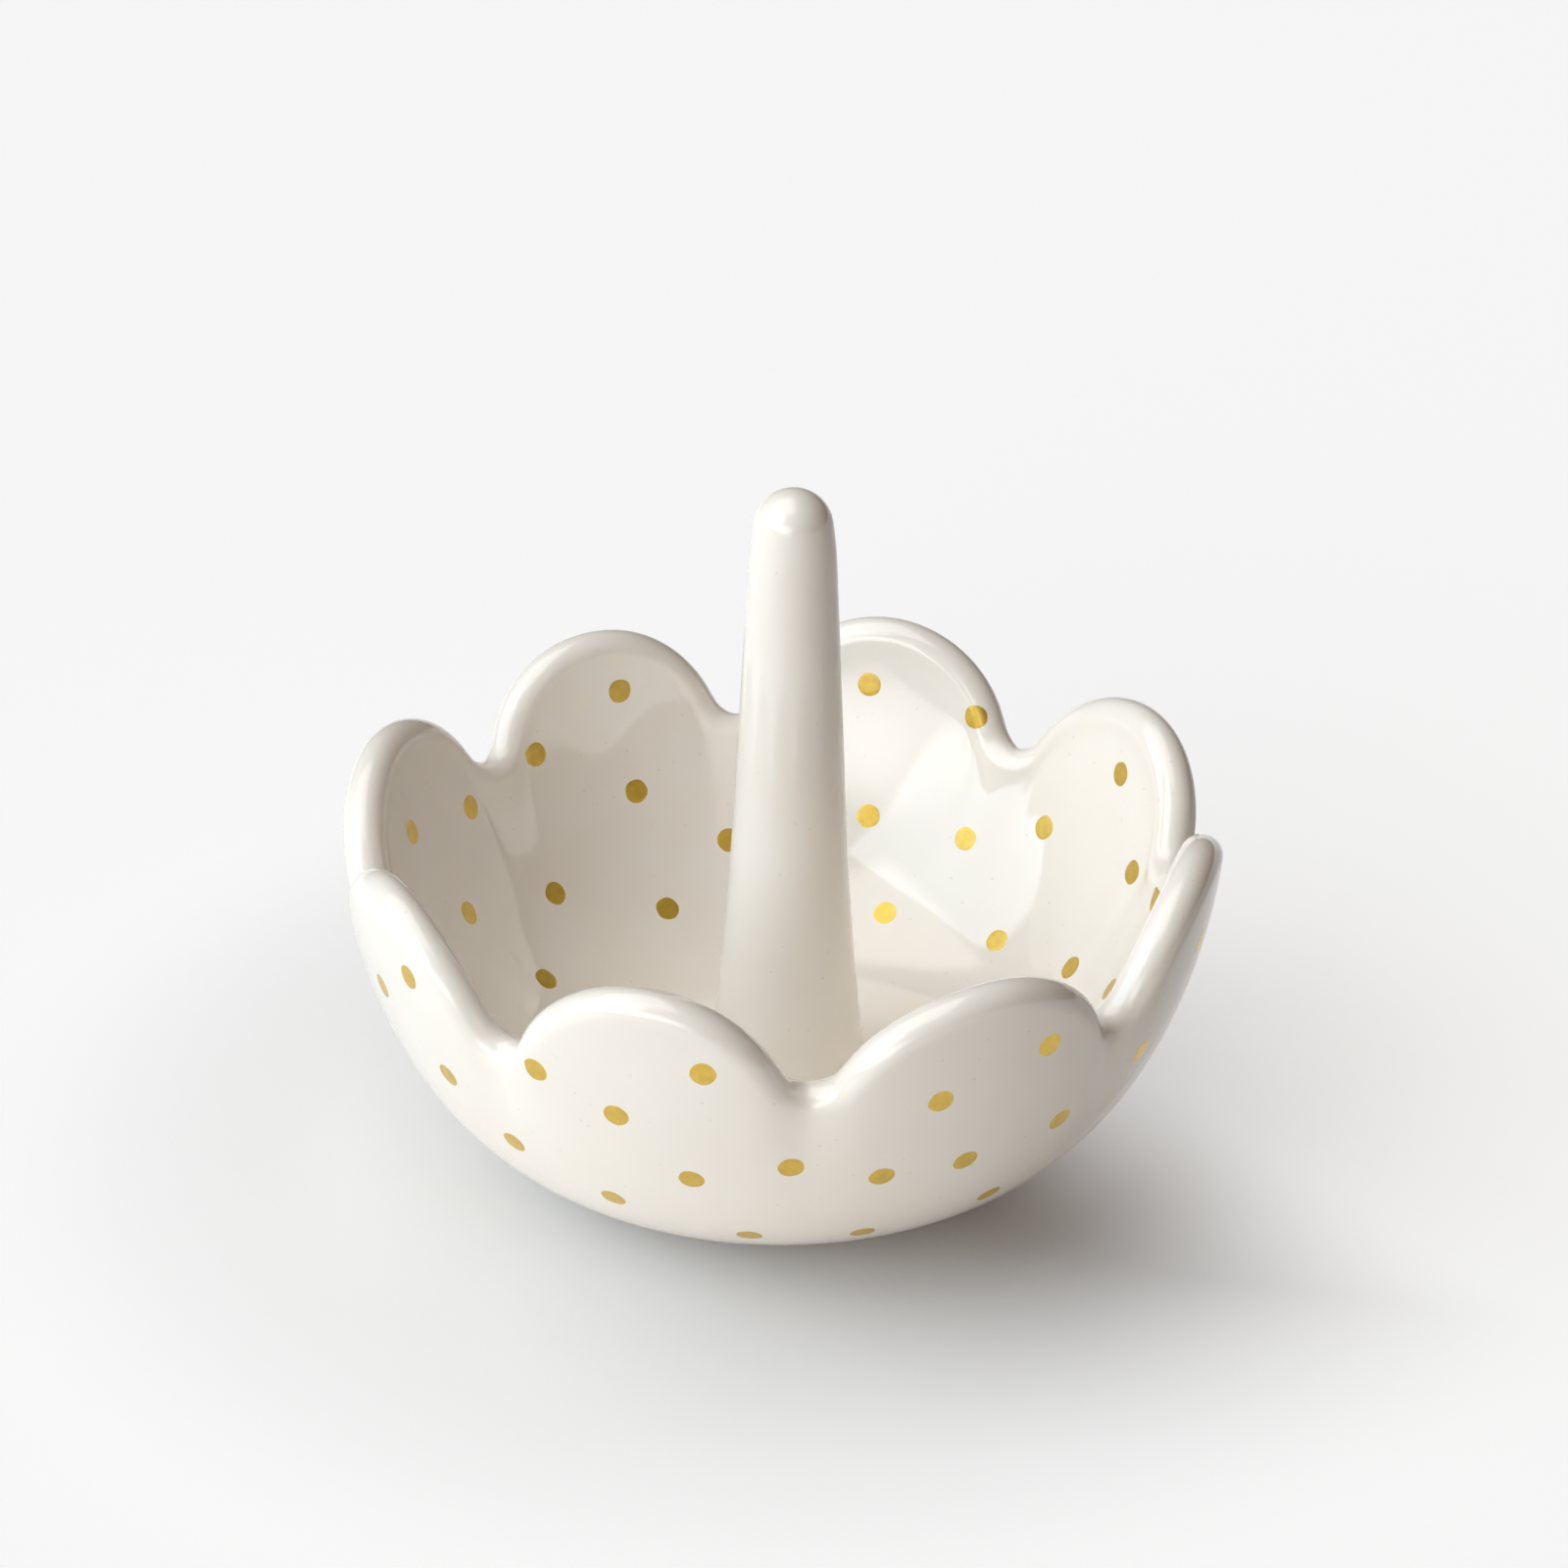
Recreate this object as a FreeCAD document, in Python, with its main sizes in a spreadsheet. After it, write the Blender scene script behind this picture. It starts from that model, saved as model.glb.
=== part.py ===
import FreeCAD
import Part
import Sketcher
import bisect
import itertools
import math
import os

# A glazed ceramic ring dish: a round bowl whose rim is cut into petals, with a tapered post standing on its
# floor for finger rings, and round gold dots fired onto the glaze inside and outside.
# Millimetres, +Z up. The origin is the middle of the foot, on the surface that the dish stands on.
# The petals are counted from the front left one, turning left to right as seen from the front, which is -Y.

Vector = FreeCAD.Vector
doc = FreeCAD.newDocument("ring_dish")

# Driving sizes, in millimetres
SIZES = (
    ("dish_diameter", 101.6, "outside of the bowl, at the height where its wall would stand upright"),
    ("petal_height", 44.2, "top of a petal above the foot"),
    ("notch_depth", 11.9, "drop of the rim from a petal's top to the notch beside it"),
    ("notch_radius", 6.0, "round of the rim's middle line in a notch"),
    ("wall_thickness", 5.0, "wall at its lip, which is a full round"),
    ("wall_growth", 3.2, "how much thicker the wall is at its base than at its lip, all of it on the inside"),
    ("crown_rise", 1.8, "height above the rim's middle line where the wall would stand upright"),
    ("base_flat", 0.5, "how much of the round underside is flattened to make the foot"),
    ("crease_depth", 0.9, "how far the wall is pressed in below a notch"),
    ("crease_width", 4.0, "half width of that crease at the rim"),
    ("foot_ring_width", 3.5, "ring that the dish stands on"),
    ("foot_recess_depth", 1.0, "hollow inside the foot ring"),
    ("floor_margin", 0.6, "flat floor left around the slip, on the side that the post is nearer to"),
    ("post_offset", 1.1, "the post stands this far to the right of the dish's middle"),
    ("post_height", 73.7, "tip of the post above its own base"),
    ("post_tip_diameter", 10.0, "post where its rounded tip begins"),
    ("post_tip_length", 9.3, "rounded tip, from its beginning to the very top"),
    ("post_tip_draw", 0.5, "how much smaller the round of the very top is than the tip's own radius"),
    ("post_taper_length", 29.6, "slim upper part, from the tip's beginning down to the waist"),
    ("post_taper", 1.4, "how much that part widens on each side"),
    ("post_flare", 2.7, "how much the flare below the waist widens on each side, down to the root"),
    ("post_root_height", 2.0, "root of the post, held in the slip"),
    ("post_root_taper", 0.3, "how much the root widens on each side"),
    ("slip_bed", 0.4, "layer of slip under the post"),
    ("slip_toe_width", 2.4, "how far the slip reaches out past the post's base"),
    ("slip_hollow_radius", 3.2, "hollow round of the slip between floor and post"),
    ("dot_diameter", 2.9, "one gold dot"),
    ("dot_thickness", 0.12, "one gold dot"),
    ("dot_clearance", 0.1, "room between a dot's base and the glaze that it is fired on"),
    ("cut_overrun", 1.0, "how far a cutting solid runs past the face that it opens"),
)

PETALS = 8
PETAL_PITCH = 2 * math.pi / PETALS
FIRST_PETAL_ANGLE = math.radians(-106.5)

# The wall's middle line is a quarter of a rounded square: two powers say how full its side and its floor are.
RISE_POWER = 1.65
REACH_POWER = 4.1
# Two more say how the wall thickens on its way down, slowly towards the base and quickly below the lip.
GROWTH_POWER = 2.2
LIP_POWER = 20
# A crease fades quickly below its notch, and the rings of the skin turn level as quickly below the petals.
CREASE_POWER = 6
PETAL_BLEND_POWER = 4

# The petals were trimmed by hand: turns are shares of half a petal's width, rises of the notch depth.
PETAL_TURN_SHARES = (-0.03, -0.01, 0.03, -0.04, 0.04, 0.0, -0.02, -0.05)
PETAL_RISE_SHARES = (0.01, -0.06, 0.01, 0.03, 0.03, -0.01, 0.01, 0.01)
NOTCH_TURN_SHARES = (-0.08, -0.01, 0.03, 0.03, 0.04, -0.05, 0.10, -0.02)
NOTCH_RISE_SHARES = (0.04, -0.03, 0.04, 0.01, -0.03, 0.06, -0.06, -0.06)

# Rings of the bowl's skin: shares of the way from the base to the rim, and steps of the round over the rim.
CLIMB_SHARES = (0.0, 0.12, 0.24, 0.36, 0.48, 0.6, 0.71, 0.81, 0.9, 0.96, 1.0)
RIM_STEPS = 6
RING_POINTS_PER_PETAL = 20

# Dots on each petal: how far across from its middle, as a share of its half width, and how far up, as a
# share of the way from the base to the rim. Past 1 a dot climbs onto the round of the rim.
OUTSIDE_DOT_SHARES = (
    ((-0.65, 0.96), (-0.16, 0.83), (0.38, 0.95), (0.26, 0.70), (0.89, 0.83), (-0.35, 0.57), (0.61, 0.46)),
    ((-0.31, 0.88), (0.34, 0.94), (0.61, 0.77), (-0.07, 0.71), (-0.57, 0.73), (0.32, 0.52), (-0.57, 0.45)),
    ((-0.68, 0.85), (-0.13, 0.91), (0.46, 0.93), (0.32, 0.70), (0.80, 0.76), (0.14, 0.50), (0.66, 0.54)),
    ((-0.50, 0.90), (0.22, 0.94), (0.72, 0.80), (-0.12, 0.76), (-0.62, 0.66), (0.30, 0.60), (-0.28, 0.48)),
    ((-0.60, 0.84), (0.04, 0.93), (0.58, 0.90), (-0.16, 0.72), (0.46, 0.68), (-0.58, 0.58), (0.12, 0.50)),
    ((-0.36, 0.94), (0.40, 0.88), (0.02, 0.77), (-0.70, 0.72), (0.66, 0.66), (-0.26, 0.56), (0.38, 0.46)),
    ((-0.56, 0.89), (0.10, 0.94), (0.64, 0.82), (-0.10, 0.74), (-0.62, 0.62), (0.36, 0.60), (-0.18, 0.46)),
    ((-0.04, 0.86), (0.39, 0.96), (0.54, 0.80), (0.95, 0.72), (-0.74, 0.64), (-0.34, 0.46), (0.16, 0.36)),
)
INSIDE_DOT_SHARES = (
    ((-0.30, 0.93), (0.42, 0.88), (0.04, 0.76), (-0.58, 0.70), (0.52, 0.62), (-0.16, 0.50)),
    ((0.20, 0.94), (-0.46, 0.88), (0.60, 0.76), (-0.10, 0.74), (0.24, 0.54), (-0.52, 0.58)),
    ((-0.26, 0.90), (0.36, 0.93), (-0.60, 0.70), (0.08, 0.73), (0.80, 0.96), (0.52, 0.68), (-0.10, 0.48)),
    ((0.42, 0.48), (-0.05, 0.93), (0.51, 0.80), (-0.64, 0.87), (-0.62, 0.58)),
    ((0.08, 0.93), (-0.68, 1.19), (-0.02, 0.69), (-0.37, 0.43), (-0.87, 0.76)),
    ((-0.11, 0.94), (0.66, 0.94), (-0.13, 0.76), (0.92, 0.63), (-0.15, 0.44), (-0.88, 0.67)),
    ((-0.62, 0.89), (0.18, 0.89), (-0.08, 0.68), (-0.36, 0.39), (0.62, 0.74)),
    ((-0.40, 0.90), (0.34, 0.94), (0.02, 0.74), (0.60, 0.68), (-0.54, 0.58), (0.18, 0.50)),
)
DOT_SAMPLE_TURNS = 24
DOT_SAMPLE_SHARES = (0.35, 0.7, 1.0, 1.1)
DIFFERENCE_STEP = 1e-4

# The sheet of driving sizes
sheet = doc.addObject("Spreadsheet::Sheet", "Sizes")


def add_cell(row, name, value, note):
    """Write one named size with its note on a row of the sheet."""
    sheet.set("A%d" % row, name)
    sheet.set("B%d" % row, repr(value))
    sheet.set("C%d" % row, note)
    sheet.setAlias("B%d" % row, name)


for row, (name, value, note) in enumerate(SIZES, start=1):
    add_cell(row, name, value, note)
doc.recompute()
half_wall = sheet.wall_thickness / 2
rim_top = sheet.petal_height - half_wall
wall_reach = sheet.dish_diameter / 2 - half_wall
wall_crown = rim_top + sheet.crown_rise
wall_floor = half_wall - sheet.base_flat
half_petal_length = PETAL_PITCH / 2 * wall_reach
tip_radius = sheet.post_tip_diameter / 2
waist_radius = tip_radius + sheet.post_taper
root_radius = waist_radius + sheet.post_flare
base_radius = root_radius + sheet.post_root_taper
slip_radius = base_radius + sheet.slip_toe_width
floor_radius = slip_radius + sheet.post_offset + sheet.floor_margin


# The bowl's shape, by formula
def petal_place(turn):
    """Split a turn, counted in petals, into a petal's number and the share across from its middle."""
    petal = math.floor(turn + 0.5)
    return petal % PETALS, 2 * (turn - petal)


def trimmed(turn, petal_shares, notch_shares):
    """Blend the shares of a petal and of the notch beside it at this turn."""
    petal, across = petal_place(turn)
    notch = petal if across > 0 else petal - 1
    weight = math.cos(math.pi * across / 2) ** 2
    return petal_shares[petal] * weight + notch_shares[notch] * (1 - weight)


def wall_angle(turn):
    """Angle about the dish's axis."""
    shift = trimmed(turn, PETAL_TURN_SHARES, NOTCH_TURN_SHARES)
    return FIRST_PETAL_ANGLE + PETAL_PITCH * turn + PETAL_PITCH / 2 * shift


def rim_height(turn):
    """Height of the rim's middle line: a petal's arc runs tangent into the round of the notch."""
    petal, across = petal_place(turn)
    depth = sheet.notch_depth
    notch_radius = sheet.notch_radius
    petal_radius = (half_petal_length ** 2 + depth ** 2) / (2 * depth) - notch_radius
    along = abs(across) * half_petal_length
    if along * (petal_radius + notch_radius) < half_petal_length * petal_radius:
        drop = petal_radius - math.sqrt(petal_radius ** 2 - along ** 2)
    else:
        drop = depth - notch_radius + math.sqrt(notch_radius ** 2 - (half_petal_length - along) ** 2)
    return rim_top - drop + depth * trimmed(turn, PETAL_RISE_SHARES, NOTCH_RISE_SHARES)


def lean_at_height(height):
    """Lean of the wall's middle line at a height: 0 mid floor, a quarter turn at the crown."""
    below_crown_share = (wall_crown - height) / (wall_crown - wall_floor)
    return math.acos(below_crown_share ** (RISE_POWER / 2))


def rim_lean(turn):
    """Lean of the wall's middle line where it reaches the rim."""
    return lean_at_height(rim_height(turn))


def wall_middle(turn, lean):
    """Point of the wall's middle surface."""
    radius = wall_reach * math.sin(lean) ** (2 / REACH_POWER)
    height = wall_crown - (wall_crown - wall_floor) * math.cos(lean) ** (2 / RISE_POWER)
    from_notch = (1 - abs(petal_place(turn)[1])) * half_petal_length
    press = math.exp(-((from_notch / sheet.crease_width) ** 2)) * (lean / rim_lean(turn)) ** CREASE_POWER
    radius -= sheet.crease_depth * press
    angle = wall_angle(turn)
    return Vector(radius * math.cos(angle), radius * math.sin(angle), height)


def wall_normal(turn, lean):
    """Outward direction of the wall's middle surface."""
    step = DIFFERENCE_STEP
    along = wall_middle(turn + step, lean) - wall_middle(turn - step, lean)
    upward = wall_middle(turn, lean + step) - wall_middle(turn, lean - step)
    return along.cross(upward).normalize()


def wall_growth(climb):
    """How much thicker the wall is than at its lip, by the share of the way from the base to the rim."""
    return sheet.wall_growth * (1 - climb ** GROWTH_POWER) * (1 - climb ** LIP_POWER)


def skin_point(turn, lean, offset):
    """Point at an offset, outwards, from the wall's middle surface."""
    return wall_middle(turn, lean) + wall_normal(turn, lean) * offset


def rim_point(turn, over):
    """Point of the rounded rim: over is 0 on the outside face, pi / 2 on top and pi on the inside face."""
    step = DIFFERENCE_STEP
    lean = rim_lean(turn)
    normal = wall_normal(turn, lean)
    after = wall_middle(turn + step, rim_lean(turn + step))
    before = wall_middle(turn - step, rim_lean(turn - step))
    upward = normal.cross((after - before).normalize()).normalize()
    return wall_middle(turn, lean) + (normal * math.cos(over) + upward * math.sin(over)) * half_wall


def lean_where(reached):
    """Least lean at which a test that turns true on the way up holds, found by halving."""
    low, high = DIFFERENCE_STEP * 2, math.pi / 4
    for halving in range(50):
        middle = (low + high) / 2
        if reached(middle):
            high = middle
        else:
            low = middle
    return high


floor_offset = -half_wall - sheet.wall_growth
foot_lean = lean_where(lambda lean: skin_point(0, lean, half_wall).z > 0)
floor_lean = lean_where(lambda lean: math.hypot(*skin_point(0, lean, floor_offset)[:2]) > floor_radius)
notch_lean = lean_at_height(rim_top - sheet.notch_depth)
foot_edge = skin_point(0, foot_lean, half_wall)
floor_edge = skin_point(0, floor_lean, floor_offset)

# Sizes that the bowl's formula gives, kept in the sheet for the pieces that stand on it
DERIVED_SIZES = (
    ("foot_radius", math.hypot(foot_edge.x, foot_edge.y), "outside of the foot ring"),
    ("floor_level", floor_edge.z, "flat floor above the foot"),
)
for row, (name, value, note) in enumerate(DERIVED_SIZES, start=len(SIZES) + 2):
    add_cell(row, name, value, note)
doc.recompute()


# The dish: one smooth skin through rings that run up the outside, over the rim and down the inside. Stations
# count that way: 0 at the foot, 1 where the rim's round begins, 3 where it ends and 4 at the floor.
STATIONS = [
    *CLIMB_SHARES,
    *(1 + 2 * step / RIM_STEPS for step in range(1, RIM_STEPS)),
    *(4 - climb for climb in reversed(CLIMB_SHARES)),
]


def station_point(turn, station):
    """Point of the bowl's formula at a station."""
    if 1 < station < 3:
        return rim_point(turn, (station - 1) * math.pi / 2)
    outside = station <= 1
    climb, base = (station, foot_lean) if outside else (4 - station, floor_lean)
    petal_share = climb ** PETAL_BLEND_POWER
    lean = base + (notch_lean - base) * climb + (rim_lean(turn) - notch_lean) * petal_share
    return skin_point(turn, lean, half_wall if outside else -half_wall - wall_growth(climb))


def station_lengths(rings):
    """Length along the skin from the foot to each ring, measured at the first petal."""
    lengths = [0.0]
    for before, after in zip(rings, rings[1:]):
        lengths.append(lengths[-1] + (after[0] - before[0]).Length)
    return lengths


def skin_surface(rings, lengths):
    """A surface that is closed around the axis and passes through every point of the rings."""
    around = [float(number) for number in range(len(rings[0]) + 1)]
    ring_poles = []
    for ring in rings:
        ring_curve = Part.BSplineCurve()
        ring_curve.interpolate(Points=ring, PeriodicFlag=True, Parameters=around)
        ring_poles.append(ring_curve.getPoles())
    poles = []
    for column in zip(*ring_poles):
        column_curve = Part.BSplineCurve()
        column_curve.interpolate(Points=list(column), Parameters=lengths)
        poles.append(column_curve.getPoles())
    surface = Part.BSplineSurface()
    surface.buildFromPolesMultsKnots(
        poles, ring_curve.getMultiplicities(), column_curve.getMultiplicities(),
        ring_curve.getKnots(), column_curve.getKnots(), True, False, ring_curve.Degree, column_curve.Degree)
    return surface


ring_turns = [index / RING_POINTS_PER_PETAL for index in range(PETALS * RING_POINTS_PER_PETAL)]
skin_rings = [[station_point(turn, station) for turn in ring_turns] for station in STATIONS]
skin_lengths = station_lengths(skin_rings)
skin = skin_surface(skin_rings, skin_lengths)


def skin_length(station):
    """Length along the skin, at the first petal, from the foot to a station."""
    ring = min(bisect.bisect_right(STATIONS, station), len(STATIONS) - 1)
    share = (station - STATIONS[ring - 1]) / (STATIONS[ring] - STATIONS[ring - 1])
    return skin_lengths[ring - 1] + share * (skin_lengths[ring] - skin_lengths[ring - 1])


def add_dish():
    """The petalled bowl, with a hollow in its foot."""
    wall = skin.toShape()
    caps = [Part.Face(Part.Wire(edge)) for edge in wall.Edges if edge.isClosed() and not edge.isSeam(wall)]
    shell = Part.makeShell([wall, *caps])
    shell.sewShape()
    blank = doc.addObject("Part::Feature", "dish_blank")
    blank.Shape = Part.Solid(shell)
    recess = doc.addObject("Part::Cylinder", "foot_recess")
    recess.setExpression("Radius", "Sizes.foot_radius - Sizes.foot_ring_width")
    recess.setExpression("Height", "Sizes.foot_recess_depth + Sizes.cut_overrun")
    recess.setExpression("Placement.Base.z", "-Sizes.cut_overrun")
    dish = doc.addObject("Part::Cut", "dish")
    dish.Base = blank
    dish.Tool = recess
    return dish


# Turned pieces: a profile drawn beside the axis and turned about it
def add_turned_body(name, outline, rules, sizes):
    """A body turned from a closed outline, with rules that hold it and sizes bound to the sheet."""
    body = doc.addObject("PartDesign::Body", name)
    sketch = body.newObject("Sketcher::SketchObject", name + "_profile")
    plane = next(item for item in body.Origin.OriginFeatures if item.Role == "XZ_Plane")
    sketch.AttachmentSupport = [(plane, "")]
    sketch.MapMode = "FlatFace"
    sketch.addGeometry(outline, False)
    sketch.addConstraint([Sketcher.Constraint(*rule) for rule in rules])
    for rule, formula in sizes:
        number = sketch.addConstraint(Sketcher.Constraint(*rule))
        sketch.setExpression("Constraints[%d]" % number, formula)
    turned = body.newObject("PartDesign::Revolution", name + "_turned")
    turned.Profile = sketch
    turned.ReferenceAxis = (sketch, ["V_Axis"])
    turned.Angle = 360
    return body


def arc_between(start, end, centre):
    """The shorter arc from start to end about a centre, drawn anticlockwise as a sketch keeps it."""
    radius = (start - centre).Length
    first = math.atan2(start.y - centre.y, start.x - centre.x)
    last = math.atan2(end.y - centre.y, end.x - centre.x)
    circle = Part.Circle(centre, Vector(0, 0, 1), radius)
    return Part.ArcOfCircle(circle, first, last)


START, END, CENTRE = range(1, 4)
ORIGIN = (-1, START)
UPRIGHT_AXIS_NUMBER = -2

# The post's radii and heights as the sheet gives them, from the tip down
TIP_RADIUS = "Sizes.post_tip_diameter / 2"
WAIST_RADIUS = TIP_RADIUS + " + Sizes.post_taper"
ROOT_RADIUS = WAIST_RADIUS + " + Sizes.post_flare"
BASE_RADIUS = ROOT_RADIUS + " + Sizes.post_root_taper"
SHOULDER_HEIGHT = "Sizes.post_height - Sizes.post_tip_length"


def add_ring_post():
    """The tapered post, from its straight root through a flare and a slim taper to a round tip."""
    root = Vector(root_radius, sheet.post_root_height, 0)
    tip = Vector(0, sheet.post_height, 0)
    shoulder = tip + Vector(tip_radius, -sheet.post_tip_length, 0)
    waist = shoulder + Vector(sheet.post_taper, -sheet.post_taper_length, 0)
    nose_radius = tip_radius - sheet.post_tip_draw
    nose_centre = tip - Vector(0, nose_radius, 0)
    across_taper = Vector(shoulder.y - waist.y, waist.x - shoulder.x, 0).normalize()
    flare_chord = root - waist
    flare_radius = flare_chord.Length ** 2 / (2 * flare_chord.dot(across_taper))
    flare_centre = waist + across_taper * flare_radius
    to_nose = shoulder - nose_centre
    nose_reach = nose_radius ** 2 - to_nose.Length ** 2
    shoulder_radius = nose_reach / (2 * (nose_radius - to_nose.dot(across_taper)))
    shoulder_centre = shoulder - across_taper * shoulder_radius
    nose_edge = nose_centre + (nose_centre - shoulder_centre).normalize() * nose_radius
    outline = [
        Part.LineSegment(Vector(0, 0, 0), Vector(base_radius, 0, 0)),
        Part.LineSegment(Vector(base_radius, 0, 0), root),
        arc_between(waist, root, flare_centre),
        Part.LineSegment(waist, shoulder),
        arc_between(shoulder, nose_edge, shoulder_centre),
        arc_between(nose_edge, tip, nose_centre),
        Part.LineSegment(tip, Vector(0, 0, 0)),
    ]
    base, straight_root, flare, taper, shoulder_arc, nose, axis = range(len(outline))
    rules = [
        ("Coincident", base, START, *ORIGIN),
        ("Horizontal", base),
        ("Coincident", base, END, straight_root, START),
        ("Coincident", straight_root, END, flare, END),
        ("Tangent", flare, START, taper, START),
        ("Tangent", taper, END, shoulder_arc, START),
        ("Tangent", shoulder_arc, END, nose, START),
        ("Coincident", nose, END, axis, START),
        ("PointOnObject", nose, CENTRE, UPRIGHT_AXIS_NUMBER),
        ("Vertical", axis),
        ("Coincident", axis, END, *ORIGIN),
    ]
    sizes = [
        (("DistanceX", *ORIGIN, base, END, base_radius), BASE_RADIUS),
        (("DistanceX", *ORIGIN, straight_root, END, root.x), ROOT_RADIUS),
        (("DistanceY", *ORIGIN, straight_root, END, root.y), "Sizes.post_root_height"),
        (("DistanceX", *ORIGIN, taper, START, waist.x), WAIST_RADIUS),
        (("DistanceY", *ORIGIN, taper, START, waist.y), SHOULDER_HEIGHT + " - Sizes.post_taper_length"),
        (("DistanceX", *ORIGIN, taper, END, shoulder.x), TIP_RADIUS),
        (("DistanceY", *ORIGIN, taper, END, shoulder.y), SHOULDER_HEIGHT),
        (("DistanceY", *ORIGIN, axis, START, tip.y), "Sizes.post_height"),
        (("Radius", nose, nose_radius), TIP_RADIUS + " - Sizes.post_tip_draw"),
    ]
    post = add_turned_body("ring_post", outline, rules, sizes)
    post.setExpression("Placement.Base.x", "Sizes.post_offset")
    post.setExpression("Placement.Base.z", "Sizes.floor_level + Sizes.slip_bed")
    return post


def add_slip_joint():
    """The slip that sticks the post to the floor: a thin bed and the hollow round pressed out around it."""
    toe = Vector(slip_radius, 0, 0)
    bed_edge = Vector(base_radius, sheet.slip_bed, 0)
    top = Vector(root_radius, sheet.slip_bed + sheet.post_root_height, 0)
    chord = toe - top
    away = Vector(-chord.y, chord.x, 0).normalize()
    rise = math.sqrt(sheet.slip_hollow_radius ** 2 - (chord.Length / 2) ** 2)
    hollow_centre = (toe + top) / 2 + away * rise
    outline = [
        Part.LineSegment(Vector(0, 0, 0), toe),
        arc_between(top, toe, hollow_centre),
        Part.LineSegment(top, bed_edge),
        Part.LineSegment(bed_edge, Vector(0, sheet.slip_bed, 0)),
        Part.LineSegment(Vector(0, sheet.slip_bed, 0), Vector(0, 0, 0)),
    ]
    under, hollow, flank, bed, axis = range(len(outline))
    rules = [
        ("Coincident", under, START, *ORIGIN),
        ("Horizontal", under),
        ("Coincident", under, END, hollow, END),
        ("Coincident", hollow, START, flank, START),
        ("Coincident", flank, END, bed, START),
        ("Horizontal", bed),
        ("Coincident", bed, END, axis, START),
        ("Vertical", axis),
        ("Coincident", axis, END, *ORIGIN),
    ]
    sizes = [
        (("DistanceX", *ORIGIN, under, END, toe.x), BASE_RADIUS + " + Sizes.slip_toe_width"),
        (("DistanceX", *ORIGIN, flank, START, top.x), ROOT_RADIUS),
        (("DistanceY", *ORIGIN, flank, START, top.y), "Sizes.slip_bed + Sizes.post_root_height"),
        (("DistanceX", *ORIGIN, flank, END, bed_edge.x), BASE_RADIUS),
        (("DistanceY", *ORIGIN, flank, END, bed_edge.y), "Sizes.slip_bed"),
        (("Radius", hollow, sheet.slip_hollow_radius), "Sizes.slip_hollow_radius"),
    ]
    slip = add_turned_body("slip_joint", outline, rules, sizes)
    slip.setExpression("Placement.Base.x", "Sizes.post_offset")
    slip.setExpression("Placement.Base.z", "Sizes.floor_level")
    return slip


# The gold dots: thin flat discs, each seated on the highest glaze under it
def dot_placement(turn, station):
    """Where a dot lies: its base just clear of the glaze, its axis along the glaze's outward direction."""
    around = turn * RING_POINTS_PER_PETAL
    length = skin_length(station)
    point = skin.value(around, length)
    along = skin.getDN(around, length, 1, 0)
    onward = skin.getDN(around, length, 0, 1)
    normal = along.cross(onward).normalize()
    squareness = along.dot(along) * onward.dot(onward) - along.dot(onward) ** 2
    first = Vector(along).normalize()
    second = normal.cross(first)
    seat = 0
    for sample, share in itertools.product(range(DOT_SAMPLE_TURNS), DOT_SAMPLE_SHARES):
        angle = 2 * math.pi * sample / DOT_SAMPLE_TURNS
        reach = (first * math.cos(angle) + second * math.sin(angle)) * (share * sheet.dot_diameter / 2)
        turned = (reach.dot(along) * onward.dot(onward) - reach.dot(onward) * along.dot(onward)) / squareness
        moved = (reach.dot(onward) * along.dot(along) - reach.dot(along) * along.dot(onward)) / squareness
        below = skin.value(around + turned, length + moved) - point
        seat = max(seat, below.dot(normal))
    base = point + normal * (seat + sheet.dot_clearance)
    return FreeCAD.Placement(base, FreeCAD.Rotation(Vector(0, 0, 1), normal))


def add_dots(petal, face, places):
    """All the dots on one face of one petal."""
    label = "petal_%d_%s_dots" % (petal + 1, face)
    dots = []
    for number, (across, climb) in enumerate(places, start=1):
        station = climb if face == "outside" else STATIONS[-1] - climb
        dot = doc.addObject("Part::Cylinder", "%s_%d" % (label, number))
        dot.setExpression("Radius", "Sizes.dot_diameter / 2")
        dot.setExpression("Height", "Sizes.dot_thickness")
        dot.Placement = dot_placement(petal + across / 2, station)
        dots.append(dot)
    group = doc.addObject("Part::Compound", label)
    group.Links = dots
    return group


subparts = [add_dish(), add_slip_joint(), add_ring_post()]
for petal in range(PETALS):
    subparts.append(add_dots(petal, "outside", OUTSIDE_DOT_SHARES[petal]))
    subparts.append(add_dots(petal, "inside", INSIDE_DOT_SHARES[petal]))
for subpart in subparts:
    subpart.Label = subpart.Name
doc.recompute()

# Every object has to be sound before anything is written
for item in doc.Objects:
    if "Invalid" in item.State or "Error" in item.State:
        raise RuntimeError("%s failed: %s" % (item.Name, item.State))
for subpart in subparts:
    if subpart.Shape.isNull() or not subpart.Shape.isValid():
        raise RuntimeError("%s has no valid shape" % subpart.Label)
os.makedirs("parts", exist_ok=True)
for subpart in subparts:
    subpart.Shape.exportStep("parts/%s.step" % subpart.Label)
    print(subpart.Label, len(subpart.Shape.Solids), "solids", round(subpart.Shape.Volume, 2), "mm3")
print("foot radius %.2f, floor level %.2f" % (sheet.foot_radius, sheet.floor_level))
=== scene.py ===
import math

import bpy
import numpy as np
from mathutils import Matrix, Vector


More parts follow.
